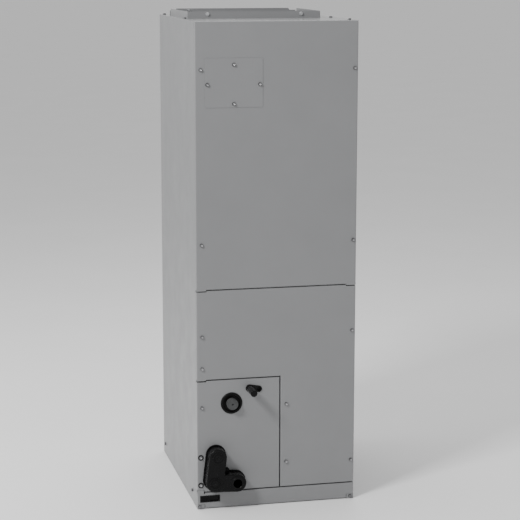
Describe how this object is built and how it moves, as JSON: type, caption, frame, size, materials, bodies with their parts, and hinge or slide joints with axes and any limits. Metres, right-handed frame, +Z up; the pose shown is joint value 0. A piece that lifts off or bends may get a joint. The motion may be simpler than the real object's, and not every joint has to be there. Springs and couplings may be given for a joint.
{
  "type": "air handler",
  "caption": "Tall upflow air handler cabinet with a duct collar on top, a blower and controls, a cooling coil with capped stubs and a drain fitting, and a filter slot at the base.",
  "frame": {"origin": "centre of the return opening's plane, on the floor under the cabinet", "axes": "+Z up the cabinet, -Z out of the return opening, -Y out of the door side, +X to the right seen from the front"},
  "size_m": [0.4564, 0.6251, 1.3573],
  "materials": {
    "painted_steel": "satin",
    "galvanised_steel": "spangled",
    "lining": "matt",
    "circuit_board": "satin",
    "iron": "satin",
    "motor_paint": "satin",
    "can": "satin",
    "black_plastic": "satin",
    "black_rubber": "matt",
    "fins": "satin",
    "copper": "satin",
    "brass": "satin",
    "grey_plastic": "satin",
    "zinc": "satin",
    "filter_card": "matt",
    "filter_cloth": "matt"
  },
  "bodies": {
    "cabinet": {"left_side_panel": "painted_steel", "right_side_panel": "painted_steel", "back_panel": "painted_steel", "top_panel": "painted_steel", "duct_collar_ends": "galvanised_steel", "duct_collar_sides": "galvanised_steel", "base_frame": "painted_steel", "filter_rails": "galvanised_steel", "coil_rails": "galvanised_steel", "mid_rail": "galvanised_steel", "side_insulation": "lining", "back_insulation": "lining", "blower_deck": "galvanised_steel", "plenum_wall": "galvanised_steel", "heater_blank_plate": "galvanised_steel", "control_board": "circuit_board", "transformer": "iron", "capacitor": "can", "capacitor_strap": "galvanised_steel", "terminal_block": "black_plastic", "lead_grommet": "black_rubber", "motor_lead": "black_rubber", "blower_scroll": "galvanised_steel", "inlet_plates": "galvanised_steel", "motor_mount": "galvanised_steel", "motor_shell": "motor_paint", "coil_slabs": "fins", "coil_end_plates": "galvanised_steel", "coil_apex_cap": "galvanised_steel", "return_bends": "copper", "suction_line": "copper", "liquid_line": "copper", "metering_device": "brass", "drain_pan": "black_plastic", "side_drain_pan": "black_plastic", "drain_connector": "black_plastic", "suction_grommet": "black_rubber", "liquid_grommet": "black_rubber", "fitting_panel": "painted_steel", "cabinet_screws": "zinc", "collar_screws": "zinc"},
    "blower_panel": {"blower_access_panel": "painted_steel", "blower_panel_pad": "lining", "blower_panel_screws": "zinc"},
    "breaker_lid": {"breaker_cover": "painted_steel", "breaker_cover_screws": "zinc"},
    "coil_panel": {"coil_access_panel": "painted_steel", "coil_panel_pad": "lining", "coil_panel_screws": "zinc"},
    "filter": {"filter_frame": "filter_card", "filter_media": "filter_cloth"},
    "filter_slot_door": {"filter_door": "painted_steel", "latch_bezel": "black_plastic"},
    "latch": {"latch_slider": "black_plastic"},
    "blower_rotor": {"wheel_blades": "galvanised_steel", "wheel_rims": "galvanised_steel", "wheel_disc": "galvanised_steel", "motor_shaft": "galvanised_steel"},
    "suction_stub_cap": {"suction_cap": "grey_plastic"},
    "liquid_stub_cap": {"liquid_cap": "black_rubber"}
  },
  "joints": [
    {"name": "blower_spin", "type": "hinge", "parent": "cabinet", "child": "blower_rotor", "pos_m": [0.03, 0.063, 0.88], "axis": [0, 1, 0], "continuous": true},
    {"name": "blower_panel_pull", "type": "slide", "parent": "cabinet", "child": "blower_panel", "axis": [0, -1, 0], "range_m": [0, 0.25]},
    {"name": "coil_panel_pull", "type": "slide", "parent": "cabinet", "child": "coil_panel", "axis": [0, -1, 0], "range_m": [0, 0.25]},
    {"name": "breaker_cover_pull", "type": "slide", "parent": "blower_panel", "child": "breaker_lid", "axis": [0, -1, 0], "range_m": [0, 0.03]},
    {"name": "filter_slide", "type": "slide", "parent": "cabinet", "child": "filter", "axis": [0, -1, 0], "range_m": [0, 0.5]},
    {"name": "filter_door_pull", "type": "slide", "parent": "filter", "child": "filter_slot_door", "axis": [0, -1, 0], "range_m": [0, 0.06]},
    {"name": "latch_slide", "type": "slide", "parent": "filter_slot_door", "child": "latch", "axis": [1, 0, 0], "range_m": [0, 0.018]},
    {"name": "suction_cap_pull", "type": "slide", "parent": "cabinet", "child": "suction_stub_cap", "axis": [0, -1, 0], "range_m": [0, 0.03]},
    {"name": "liquid_cap_pull", "type": "slide", "parent": "cabinet", "child": "liquid_stub_cap", "axis": [0, -1, 0], "range_m": [0, 0.06]}
  ]
}
